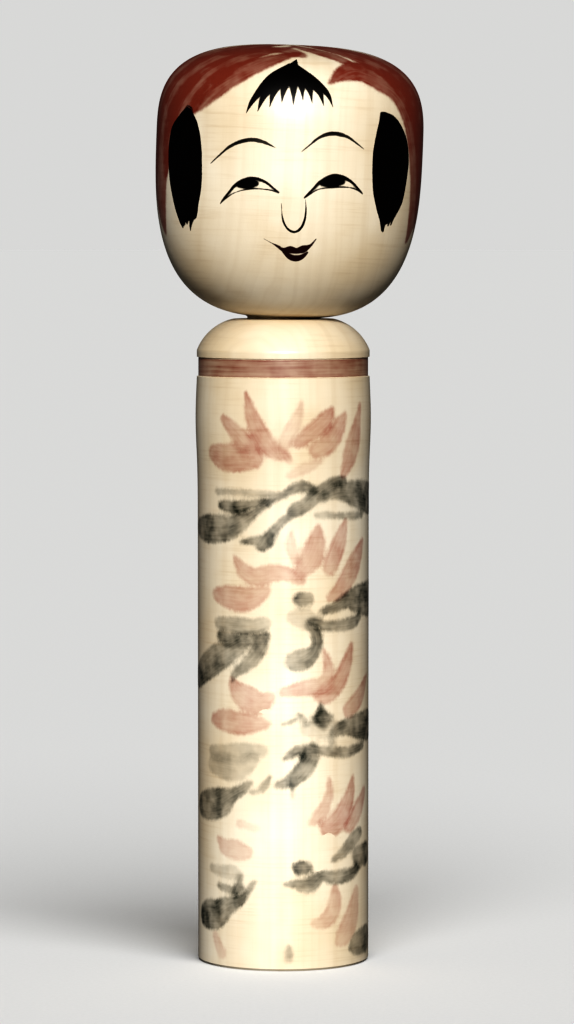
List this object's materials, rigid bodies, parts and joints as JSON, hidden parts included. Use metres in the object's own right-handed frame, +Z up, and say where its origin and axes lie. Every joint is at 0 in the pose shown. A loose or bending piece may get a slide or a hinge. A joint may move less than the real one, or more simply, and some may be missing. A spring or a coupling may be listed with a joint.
{
  "type": "kokeshi doll",
  "caption": "Turned wooden doll: a straight painted body on a flat foot, and a rounded head that turns on a tenon held in the shoulder.",
  "frame": {"origin": "centre of the foot, on the axis of the turned body", "axes": "+Z up along the body, -Y the way the face looks, +X the doll's own left and the viewer's right"},
  "size_m": [0.0709, 0.0702, 0.2425],
  "materials": {
    "turned_wood": "satin, waxed",
    "black_ink": "brushed ink under wax, satin",
    "red_dye": "thin dye soaked into the wood under wax, satin",
    "petal_red": "faded thin dye soaked into the wood under wax, satin",
    "green_dye": "thin dye soaked into the wood under wax, satin",
    "lip_red": "brushed dye under wax, satin"
  },
  "bodies": {
    "body": {"body": "turned_wood", "shoulder_band": "red_dye", "petals_1": "petal_red", "petals_2": "petal_red", "petals_3": "petal_red", "petals_4": "petal_red", "petals_5": "petal_red", "leaves_1": "green_dye", "leaves_2": "green_dye", "leaves_3": "green_dye", "leaves_4": "green_dye", "leaves_5": "green_dye"},
    "head": {"head": "turned_wood", "bangs": "black_ink", "side_lock_left": "black_ink", "side_lock_right": "black_ink", "crown_dye_left": "red_dye", "crown_dye_right": "red_dye", "brow_left": "black_ink", "brow_right": "black_ink", "eye_left": "black_ink", "eye_right": "black_ink", "nose_line": "black_ink", "mouth": "lip_red"}
  },
  "joints": [
    {"name": "neck_turn", "type": "hinge", "parent": "body", "child": "head", "pos_m": [0, 0, 0.1703], "axis": [0.0366, 0, 0.9993], "continuous": true}
  ]
}
